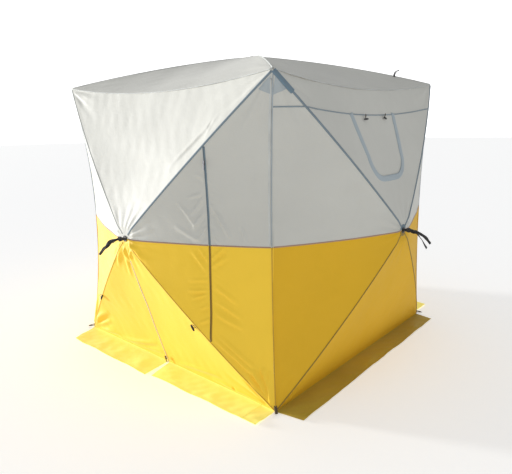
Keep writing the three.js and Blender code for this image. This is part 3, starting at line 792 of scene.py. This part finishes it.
# The corner gusset's grey-blue, darker than the white cloth: partly its own colour, partly painted shade.
PALE_PATCH = cloth_material("reinforcement_pale", (0.44, 0.49, 0.51), 0.66, sheen=0.2)
BAND = cloth_material("window_band_blue", (0.42, 0.49, 0.53), 0.7, sheen=0.25)
ZIP_GREY = zip_material("zip_grey", (0.20, 0.27, 0.32), (0.16, 0.22, 0.27))
ZIP_BROWN = zip_material("zip_brown", (0.36, 0.22, 0.03), (0.24, 0.15, 0.04))
ZIP_PALE = zip_material("zip_pale", (0.86, 0.72, 0.50), (0.90, 0.82, 0.68))
BLACK = webbing_material("webbing_black", (0.016, 0.016, 0.018))
CORD = webbing_material("cord_brown", (0.070, 0.045, 0.025))
NYLON = plastic_material("nylon_black", (0.020, 0.021, 0.023), 0.48)
FIBREGLASS = plastic_material("fibreglass", (0.030, 0.033, 0.037), 0.38, streak=(8.0, 8.0, 60.0), coat=0.3)
ZINC = plastic_material("zinc", (0.10, 0.10, 0.11), 0.38, metallic=0.7)
CLEAR = clear_material("clear_pvc")

# ---- the CAD pieces that stay ----
KEPT = {"hub_": NYLON, "corner_": NYLON, "rod_": FIBREGLASS, "side_zip_slider": ZINC}
KEPT["lower_zip_slider"] = ZINC
for node_name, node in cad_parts.items():
    for prefix, material in KEPT.items():
        if node_name.startswith(prefix):
            node.data.materials.clear()
            node.data.materials.append(material)


# ---- wall and roof cloth ----
def front_label(x, y):
    names = np.where(y > 0, "front_upper", "front_lower").astype(object)
    side = inside(side_outline(), x, y)
    names[side] = np.where(y[side] > 0, "side_door_upper", "side_door_lower")
    lower = inside(lower_outline(), x, y)
    names[lower] = np.where(x[lower] < 0, "lower_door_left", "lower_door_right")
    return names


def right_label(x, y):
    names = np.where(y > 0, "right_upper", "right_lower").astype(object)
    names[inside(window_outline(-WINDOW_BAND), x, y)] = "window_cover"
    return names


def plain_label(panel):
    if panel is ROOF:
        return lambda x, y: np.full(x.shape, "roof", object)
    return lambda x, y: np.where(y > 0, panel.name + "_upper", panel.name + "_lower").astype(object)


CENTRE_CUT = [(0.0, -1.0), (0.0, 1.0)]
# Distances in from each flap's hinge; the lower doors' across and down.
SIDE_BEND, WINDOW_BEND, LOWER_BEND = 0.035, 0.03, (0.024, 0.026)


def panel_point(panel, x, y):
    n = cloth_n(panel, np.array([x]), np.array([y]))
    return panel.world(np.array([x]), np.array([y]), n)[0]


def make_panel_cloth(panel, outlines, label):
    for key, cloth in split_cloth(panel, outlines, label).items():
        is_yellow = key.endswith("_lower") or key.startswith("lower_door")
        # The window and back walls take the darker copy of the yellow cloth, as painted shade.
        yellow = SHADED_YELLOW if panel in (RIGHT, BACK) else YELLOW
        piece = cloth_piece(key + "_cloth", panel, cloth, yellow if is_yellow else WHITE)
        declare_cloth(piece)
        if key.startswith("side_door"):
            hinge = panel_point(FRONT, SIDE_DOOR["hinge"], 0.0)
            inner = panel_point(FRONT, SIDE_DOOR["hinge"] - SIDE_BEND, 0.0)
            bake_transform(piece)
            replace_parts(piece, "side_door_flap")
        elif key.startswith("lower_door"):
            sign = -1 if key.endswith("left") else 1
            middle = 0.5 * LOWER_DOOR["corner"]
            edge_y = LOWER_FOOT + HINGE_SLOPE * middle
            start = panel_point(FRONT, sign * middle, edge_y)
            end = panel_point(FRONT, sign * (middle - LOWER_BEND[0]), edge_y - LOWER_BEND[1])
            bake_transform(piece)
            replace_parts(piece, "lower_flap_" + key.rsplit("_", 1)[1])
        elif key == "window_cover":
            top = panel_point(RIGHT, 0.0, WINDOW_TOP - HALF_UP)
            below = panel_point(RIGHT, 0.0, WINDOW_TOP - HALF_UP - WINDOW_BEND)
            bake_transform(piece)
            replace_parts(piece, "window_flap")
        else:
            follow_hub(piece, panel)
            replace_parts(piece, "roof_cloth" if panel is ROOF else "wall_" + panel.name)


make_panel_cloth(FRONT, [side_outline(), lower_outline(), CENTRE_CUT], front_label)
make_panel_cloth(RIGHT, [window_outline(-WINDOW_BAND)], right_label)
for plain in (BACK, LEFT, ROOF):
    make_panel_cloth(plain, [], plain_label(plain))


# ---- seams over the rods, edge bindings and waist piping ----
def seam_paths(panel):
    """The four lines from the hub to the corners, in x and y."""
    t = np.linspace(0.030, 0.992, 100)
    for sx, sy in CORNERS:
        yield sx, sy, flat_path(panel, sx * t, sy * t)


def seam_look(panel, sx, sy):
    """A seam's width, height and material."""
    # Partly painted light: the front wall's seams take the colour they show in its light, pale or
    # cloth-coloured on its lit left and lower parts, dark grey at the upper right where the shade begins.
    if not panel.is_wall:
        return 0.009, 0.0024, HEM_WHITE
    if panel is FRONT and sy < 0:
        return 0.008, 0.0020, SEAM_YELLOW
    if panel is FRONT and sx < 0:
        return 0.009, 0.0025, HEM_WHITE
    if sy < 0:
        return 0.009, 0.0025, SEAM_OLIVE
    return 0.0115, 0.0035, SEAM_GREY


for panel in (*WALLS, ROOF):
    for sx, sy, path in seam_paths(panel):
        side_word = "left" if sx < 0 else "right"
        level = "top" if sy > 0 else "bottom"
        name = f"{panel.name}_pole_seam_{level}_{side_word}"
        strip_on_hub(name, panel, path, *seam_look(panel, sx, sy))


def edge_curve(panel, b_from, b_to, a=1.0, count=60, out=0.0015):
    b = np.linspace(b_from, b_to, count)
    x, y, n = shape(panel, np.full(count, a), b)
    return panel.world(x + out * np.sign(a), y, n + out)


for panel in WALLS:
    corner = f"corner_edge_{panel.name}"
    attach(tube(corner + "_upper", edge_curve(panel, 0.0, 0.995), 0.0026, EDGE_WHITE), "root")
    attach(tube(corner + "_lower", edge_curve(panel, -0.985, 0.0), 0.0030, EDGE_YELLOW), "root")
    a = np.linspace(-0.996, 0.996, 90)
    x, y, n = shape(panel, a, np.ones_like(a))
    eave = panel.world(x, y + 0.003, n + 0.001)
    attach(tube(f"eave_binding_{panel.name}", eave, 0.0026, HEM_WHITE), "root")
    b = np.linspace(0.012, 0.955, 70)
    path = flat_path(panel, np.full_like(b, 0.985), b)
    strip_on_hub(f"corner_hem_{panel.name}", panel, path, 0.016, 0.0012, HEM_WHITE, FLAT)


WAIST_LOOK = (0.008, 0.0026, WAIST)


def waist_path(x0, x1):
    """Along the sewn line between the upper and the lower cloth."""
    return line_path((x0, 0.0), (x1, 0.0))


def edge_x(panel, side):
    x, _, _ = shape(panel, np.array([float(side)]), np.array([0.0]))
    return float(x[0]) - side * 0.004


for panel in WALLS:
    spans = [(edge_x(panel, -1), -0.03), (0.03, edge_x(panel, 1))]
    if panel is FRONT:
        spans = [spans[0], (0.03, zip_line(0.0) - 0.008), (SIDE_DOOR["hinge"], edge_x(panel, 1))]
    for index, (x0, x1) in enumerate(spans):
        name = f"waist_piping_{panel.name}_{index}"
        strip_on_hub(name, panel, waist_path(x0, x1), *WAIST_LOOK)
on_flap = waist_path(zip_line(0.0) + 0.008, SIDE_DOOR["hinge"] - 0.001)
strip_on_body("waist_piping_side_door", "side_door", FRONT, on_flap, *WAIST_LOOK)

# A sewn line along the window wall's head, under the eave.
head_a = np.linspace(-0.996, 0.985, 160)
head_line = flat_path(RIGHT, head_a, np.full_like(head_a, 0.81))
strip_on_hub("head_seam_right", RIGHT, head_line, 0.007, 0.0020, HEAD_SEAM, FLAT)

# ---- side door: zip, binding ----
zip_top = SIDE_DOOR["zip"] * SLOPE - 0.006
ZIP_HALVES = (("upper", 0.0, zip_top, ZIP_GREY), ("lower", -zip_top, 0.0, ZIP_BROWN))
for label, low, high, material in ZIP_HALVES:
    heights = np.linspace(low, high, 60)
    path = np.stack([zip_line(heights), heights], 1)
    looks = (0.011, 0.0040, material, COIL)
    piece = strip_on_body(f"side_zip_{label}", "side_door", FRONT, path, *looks)
    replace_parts(piece, "side_zip")


HEM_SIZE = (0.012, 0.0015)
BEHIND = -0.0042


def binding(name, points, material):
    """Sewn behind the flap's edge, so that it only shows when the door is open."""
    path = resample(points)
    return strip_on_body(name, "side_door_edge", FRONT, path, *HEM_SIZE, material, FLAT, BEHIND)


grown = side_outline(0.006)
upper_edge = [(grown[2][0] + 0.014, grown[2][1] + 0.010), grown[1], (grown[1][0], 0.0)]
lower_edge = [(grown[0][0], 0.0), grown[0], (grown[-1][0] + 0.014, grown[-1][1] - 0.010)]
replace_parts(binding("side_door_binding_upper", upper_edge, WHITE), "side_door_binding")
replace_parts(binding("side_door_binding_lower", lower_edge, YELLOW), "side_door_binding")

# ---- lower door: zip, binding ----
lower_zip_path = line_path((0.0, LOWER_FOOT + 0.002), (0.0, LOWER_APEX - 0.004))
looks = (0.009, 0.0026, ZIP_PALE, COIL)
piece = strip_on_body("lower_zip_coil", "lower_door_right", FRONT, lower_zip_path, *looks)
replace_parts(piece, "lower_zip")
grown = lower_outline(0.007)
apex = grown[2]
foot_y = LOWER_FOOT + 0.01
foot_x = apex[1] - foot_y
legs = [(-foot_x / HINGE_SLOPE, foot_y), apex, (foot_x / HINGE_SLOPE, foot_y)]
path = resample(legs)
looks = (*HEM_SIZE, YELLOW, FLAT, BEHIND)
piece = strip_on_body("lower_door_hem", "lower_door_edge", FRONT, path, *looks)
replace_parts(piece, "lower_door_binding")

# ---- window: band, pane, ties ----
band_middle = window_outline(-WINDOW_BAND / 2, steps=10)
first = len(band_middle) // 2 - 1
u_path = (band_middle[first + 1 :] + band_middle[: first + 1])[::-1]
looks = (WINDOW_BAND, 0.0026, BAND, FLAT)
band = strip_on_body("window_band_u", "window_edge", RIGHT, resample(u_path), *looks)
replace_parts(band, "window_band")


PANE_OUTLINE = window_outline(-WINDOW_BAND + 0.012, WINDOW_TOP + 0.012)


def label_inside(outline, name):
    """A label that names the faces in one outline and drops the others."""
    return lambda x, y: np.where(inside(outline, x, y), name, "").astype(object)


pane_cloth = split_cloth(RIGHT, [PANE_OUTLINE], label_inside(PANE_OUTLINE, "pane"))["pane"]
pane = cloth_piece("window_pane_clear", RIGHT, pane_cloth, CLEAR, lift=-0.004)
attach(pane, "window_edge")
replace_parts(pane, "window_pane")


def toggle(name, panel, x, y, angle, body, length=0.040, radius=0.0062, lift=0.012):
    """A black barrel toggle on a short cord loop, lying on the cloth."""
    centre = panel_point(panel, x, y) + panel.out * lift
    direction = math.cos(angle) * panel.across + math.sin(angle) * panel.up
    t = np.linspace(-1, 1, 15)
    points = centre + direction * (t * length / 2)[:, None]
    taper = 0.62 + 0.38 * (1 - abs(t) ** 3)
    barrel = tube(name, points, radius, NYLON, 14, taper)
    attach(barrel, body)
    turn = np.linspace(0, 2 * math.pi, 25)
    side = -math.sin(angle) * panel.across + math.cos(angle) * panel.up
    loop = centre + side * (0.014 - 0.014 * np.cos(turn))[:, None]
    loop = loop + direction * (0.008 * np.sin(turn))[:, None]
    loop = loop - panel.out * (0.004 + 0.004 * np.cos(turn / 2))[:, None]
    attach(tube(name + "_loop", loop, 0.0015, CORD, 6), body)


toggle("lower_toggle_right", FRONT, 0.437, -0.468, math.radians(-50), "lower_door_edge")
toggle("lower_toggle_left", FRONT, -0.50, -0.505, math.radians(60), "lower_door_edge")
for name, x, drop, angle, length in (
    ("window_toggle_0", -0.154, 0.034, 0.05, 0.042),
    ("window_toggle_1", 0.082, 0.030, -0.3, 0.036),
):
    toggle(name, RIGHT, x, WINDOW_TOP - HALF_UP - drop, angle, "window_edge", length, 0.0055)

# ---- reinforcements at the hubs and top corners, and dark bands beside top corners ----
for panel in (RIGHT, BACK, LEFT):
    for label, sign, material in (("upper", 1, PATCH), ("lower", -1, SEAM_OLIVE)):
        turn = np.linspace(0.25, math.pi - 0.25, 20)
        ring = np.stack([0.026 * np.cos(turn), sign * 0.026 * np.sin(turn)], 1)
        strip_on_hub(f"hub_patch_{panel.name}_{label}", panel, ring, 0.020, 0.0014, material, FLAT)


def corner_band(panel, side):
    """A dark blue band along the rod's sleeve beside a top corner."""
    t = np.linspace(0.888, 0.996, 24)
    path = flat_path(panel, side * t, t)
    strip_on_hub(f"corner_band_{panel.name}", panel, path, 0.026, 0.0040, PATCH, FLAT)


def corner_patch(panel, side):
    """A gusset between the rod and the upright edge of a top corner, in a pale grey-blue that is partly
    its own colour and partly painted shade.
    """
    shares_of = ((0.985, 0.966), (0.920, 0.900), (0.976, 0.868))
    corners = [(side * a * HALF, b * HALF_UP) for a, b in shares_of]
    outline = corners if side > 0 else corners[::-1]
    cloth = split_cloth(panel, [outline], label_inside(outline, "patch"))["patch"]
    piece = cloth_piece(f"corner_patch_{panel.name}", panel, cloth, PALE_PATCH, lift=0.0018)
    declare_cloth(piece)
    follow_hub(piece, panel)


corner_band(RIGHT, -1)
corner_band(LEFT, -1)
corner_patch(FRONT, 1)
corner_patch(RIGHT, -1)


# ---- snow skirts ----
SKIRT_ROWS, SKIRT_STEP = 20, 0.011
HEM_INSET = 0.002  # from the outline in CAD to the middle of the hem
CORNER_SINK = 0.0016  # a corner's skirt lies under the door flaps' own


def skirt_height(x, y, share, seed):
    """How high the skirt's cloth lies above the ground: waves, small folds and its sewn inner edge."""
    wave = 0.5 + 0.5 * ripple(x, y, 3.6, seed)
    folds = 0.5 + 0.5 * ripple(x, y, 11.0, seed + 1)
    lie = share**0.8 * (0.012 * np.clip(wave, 0, 1.4) ** 2 + 0.0045 * folds)
    return 0.0035 + lie * (1 - 0.5 * smooth(0.75, 1.0, share)) + 0.006 * (1 - smooth(0, 0.10, share))


def skirt(name, corners, body, node, seed, look, sink):
    """A strip of cloth on the ground. Its corners are the inner edge's start and end, then the
    outer edge's end and start, in x and y."""
    inner_start, inner_end, outer_end, outer_start = (np.array(c) for c in corners)
    columns = max(6, int(np.linalg.norm(inner_end - inner_start) / SKIRT_STEP))
    rows = SKIRT_ROWS
    u, v = np.meshgrid(np.linspace(0, 1, columns + 1), np.linspace(0, 1, rows + 1))
    u, v = u.ravel()[:, None], v.ravel()[:, None]
    inner = inner_start + (inner_end - inner_start) * u
    outer = outer_start + (outer_end - outer_start) * u
    places = inner + (outer - inner) * v
    x, y = places[:, 0], places[:, 1]
    share = v[:, 0]
    scallop = 1 + 0.030 * share * ripple(x, y, 2.6, seed)
    x, y = (inner[:, k] + (places[:, k] - inner[:, k]) * scallop for k in (0, 1))
    vertices = np.stack([x, y, skirt_height(x, y, share, seed) - sink], 1)
    faces = grid_faces(columns, rows)
    piece = new_object(name, vertices, faces, look, np.stack([x, y], 1))
    if piece.data.polygons[0].normal.z < 0:
        piece.data.flip_normals()
    thin(piece, 0.0014)
    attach(piece, body)
    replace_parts(piece, node)
    declare_cloth(piece)
    hem = vertices.reshape(rows + 1, columns + 1, 3)[rows] + np.array([0, 0, 0.0006])
    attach(tube(name + "_hem", hem, 0.0020, look, 8), body)


foot = HALF - 0.004  # a skirt's sewn inner edge
end = 0.870  # half length of an outer edge
split = 0.798  # where a door flap's skirt meets the corner's
under = split - 0.010
left_y, right_y = (-SKIRT_EDGE[side] + HEM_INSET for side in ("front_left", "front_right"))
corner_y = -1.062  # the front skirt's outer edge at the corner at x > 0
side_x, back_y = SKIRT_EDGE["side"] - HEM_INSET, SKIRT_EDGE["back"] - HEM_INSET
far_x = side_x - 0.030
split_y = corner_y + (right_y - corner_y) * (end - split) / end
LEFT_FLAP = [(-split, -foot), (-0.012, -foot), (0.016, left_y), (-split, left_y)]
RIGHT_FLAP = [(0.006, -foot), (split, -foot), (split, split_y), (0.060, right_y)]
LEFT_CORNER = [(-0.900, -0.902), (-under, -foot), (-under, left_y), (-0.818, left_y)]
RIGHT_CORNER = [(under, -foot), (0.894, -0.902), (0.896, corner_y), (under, split_y)]
SKIRTS = (
    ("front_left", LEFT_FLAP, "lower_door_left", 3),
    ("front_right", RIGHT_FLAP, "lower_door_right", 3),
    ("left_corner", LEFT_CORNER, "root", 3),
    ("right_corner", RIGHT_CORNER, "root", 3),
    ("right", [(foot, -0.902), (foot, foot), (far_x, end), (side_x, -end)], "root", 23),
    ("back", [(end, foot), (-end, foot), (-end, back_y), (end, back_y)], "root", 33),
    ("left", [(-foot, foot), (-foot, -0.902), (-side_x, -0.790), (-far_x, end)], "root", 43),
)
for label, corners, body, seed in SKIRTS:
    sink = CORNER_SINK if label.endswith("_corner") else 0.0
    node = "skirt_" + label.replace("_corner", "")
    # The skirt on the window side takes the darker copy, as painted shade.
    look = SHADED_SKIRT if label == "right" else SKIRT
    skirt(f"skirt_{label}_cloth", corners, body, node, seed, look, sink)

# Loops for stakes at the four feet.
for sx, sy in CORNERS:
    out = Vector((sx, sy, 0)).normalized()
    start = Vector((sx * 0.893, sy * 0.893, 0.026))
    points = []
    for value in np.linspace(0, 1, 24):
        bow = math.sin(math.pi * value)
        height = 0.006 - 0.012 * value - 0.010 * bow
        points.append(start + out * (0.052 * bow) + Vector((0, 0, height)))
    sides = [Vector((-out.y, out.x, 0))] * len(points)
    name = f"stake_loop_{'front' if sy < 0 else 'back'}_{'left' if sx < 0 else 'right'}"
    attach(ribbon(name, points, np.full(24, 0.016), 0.0018, sides, CORD), "root")


# ---- pull straps ----
PIN_OUT = 0.011  # from the taut cloth over the hub to its pin's ring
# The strap's way: shares of its length, and how far out and up it is there.
STRAP_MARKS = [0, 0.22, 0.48, 0.78, 1]
STRAP_OUT = [0.0, 0.034, 0.078, 0.125, 0.165]
STRAP_RISE = [0.0, 0.006, 0.002, -0.026, -0.060]


def soften(values):
    kernel = np.ones(7) / 7
    return np.convolve(np.pad(values, 3, mode="edge"), kernel, mode="valid")


def strap(panel, seed):
    """A doubled webbing loop, knotted at the hub's pin, that stands out and droops. The window
    wall's has one strand hanging apart."""
    node = "pull_strap_" + panel.name
    across, up, out = Vector(panel.across), Vector(UP), Vector(panel.out)
    base = out * (HALF + WALL_BULGE + PIN_OUT) + up * HALF_UP
    t = np.linspace(0, 1, 60)
    outward, rise = (soften(np.interp(t, STRAP_MARKS, way)) for way in (STRAP_OUT, STRAP_RISE))
    pieces = []
    for index, (gap, lean) in enumerate(((0.0045, 0.5), (-0.0060, -0.7))):
        points, sides = [], []
        for k, value in enumerate(t):
            twist = lean * math.sin(2.6 * math.pi * value + index + seed)
            spread = gap * math.sin(math.pi * value) ** 0.7
            crumple = 0.0018 * math.sin(23 * value + 2 * index + seed)
            sway = 0.005 * math.sin(3 * math.pi * value + seed) * (1 - 2 * index)
            drop = -0.034 * value**3 if panel is RIGHT and index else 0.0
            place = base + out * (float(outward[k]) + 0.7 * drop)
            place = place + up * (float(rise[k]) + spread + crumple + drop)
            points.append(place + across * sway)
            sides.append(across * math.cos(twist) + up * math.sin(twist))
        widths = 0.022 - 0.005 * np.exp(-(((t - 0.12) / 0.08) ** 2)) - 0.005 * t**4
        pieces.append(ribbon(f"{node}_strand_{index}", points, widths, 0.0032, sides, BLACK))
    core = [base + out * float(outward[k]) + up * float(rise[k]) for k in range(len(t))]
    bumps = 1 + 0.22 * np.sin(31 * t + seed) * np.sin(math.pi * t) + 0.55 * smooth(0.86, 0.97, t)
    pieces.append(tube(f"{node}_core", core, 0.0062, BLACK, 12, bumps * (1 - 0.55 * t**16)))
    knot = []
    for angle in np.linspace(0, 4 * math.pi, 60):
        along = 0.021 + 0.006 * angle / (4 * math.pi) + 0.003 * math.sin(3 * angle)
        ring = across * (0.0135 * math.cos(angle)) + up * (0.0095 * math.sin(angle) + 0.004)
        knot.append(base + out * along + ring)
    pieces.append(tube(f"{node}_knot", knot, 0.0046, BLACK, 10))
    for piece in pieces:
        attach(piece, node)
        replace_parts(piece, node)


for number, panel in enumerate(WALLS):
    strap(panel, number)

# ---- roof tie loop ----
loop_low, loop_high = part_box("roof_tie_loop")
loop_base = (loop_low + loop_high) / 2
loop_base.z = loop_low.z - 0.006
lean, broad = Vector((0.75, 0.66, 0)), Vector((-0.66, 0.75, 0))
loop_points, loop_sides = [], []
for value in np.linspace(-1, 1, 48):
    share = 1 - abs(value)
    apart = math.copysign(0.0034 * math.sin(math.pi * share) ** 0.5 + 0.0012, value)
    along = 0.004 * share + 0.030 * share**3 + apart * (1 - 0.5 * share)
    height = 0.060 * share - 0.014 * share**4 - apart * share**2
    loop_points.append(loop_base + lean * along + Vector((0, 0, height)))
    loop_sides.append(broad)
loop_widths = np.full(len(loop_points), 0.016)
piece = ribbon("roof_tie_loop_webbing", loop_points, loop_widths, 0.0036, loop_sides, BLACK)
follow_hub(piece, ROOF)
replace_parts(piece, "roof_tie_loop")


# ---- floor, backdrop, light and camera ----
def stage_object(name, mesh_data, colour, glow):
    """A pale surface round the object; the glow is snow light."""
    stand = bpy.data.objects.new(name, mesh_data)
    bpy.context.scene.collection.objects.link(stand)
    n = Nodes(name)
    tone = n.add("TexNoise", {"Scale": 2.0}).outputs[0]
    n.look(Base_Color=n.mix(tone, tint(colour, 0.97), tint(colour)), Roughness=0.85)
    n.look(Emission_Color=tint(colour), Emission_Strength=glow)
    mesh_data.materials.append(n.material)
    return stand


FLOOR_HALF = 40.0
PALE = (0.90, 0.90, 0.90)
floor_mesh = bpy.data.meshes.new("floor")
ends = (-FLOOR_HALF, FLOOR_HALF)
floor_mesh.from_pydata([(x, y, 0) for x in ends for y in ends], [], [(0, 2, 3, 1)])
stage_object("floor", floor_mesh, PALE, 0.40)

dome_mesh = bpy.data.meshes.new("backdrop")
dome_shell = bmesh.new()
bmesh.ops.create_uvsphere(dome_shell, u_segments=32, v_segments=16, radius=FLOOR_HALF)
dome_shell.to_mesh(dome_mesh)
dome_shell.free()
dome = stage_object("backdrop", dome_mesh, PALE, 0.95)
for ray in ("diffuse", "glossy", "transmission", "volume_scatter", "shadow"):
    setattr(dome, "visible_" + ray, False)

world = bpy.data.worlds.new("studio")
bpy.context.scene.world = world
bpy.context.scene.view_settings.view_transform = "Standard"
world.use_nodes = True
background = world.node_tree.nodes["Background"]
background.inputs["Color"].default_value = (0.98, 0.99, 1.0, 1)
background.inputs["Strength"].default_value = 0.54

SUN_PLACE = (-0.90, -0.38, 0.07)  # the way from the object to the sun
light = bpy.data.lights.new("key", "SUN")
light.energy = 4.6
light.angle = math.radians(6)
light.color = (1.0, 0.99, 0.97)
lamp = bpy.data.objects.new("key", light)
lamp.rotation_mode = "QUATERNION"
lamp.rotation_quaternion = Vector(SUN_PLACE).to_track_quat("Z", "Y")
bpy.context.scene.collection.objects.link(lamp)

camera_data = bpy.data.cameras.new("camera")
camera = bpy.data.objects.new("camera", camera_data)
bpy.context.scene.collection.objects.link(camera)
camera_data.sensor_width = 36
camera_data.lens = 34.97
EYE = (2.420, -2.763, 1.539)
# In degrees: the way the camera looks from +X round to +Y, up from level, and its roll.
YAW, PITCH, ROLL = 131.375, -13.204, -0.942
place = Matrix.Translation(EYE)
for angle, axis in ((YAW - 90, "Z"), (90 + PITCH, "X"), (ROLL, "Z")):
    place = place @ Matrix.Rotation(math.radians(angle), 4, axis)
camera.matrix_world = place
bpy.context.scene.camera = camera
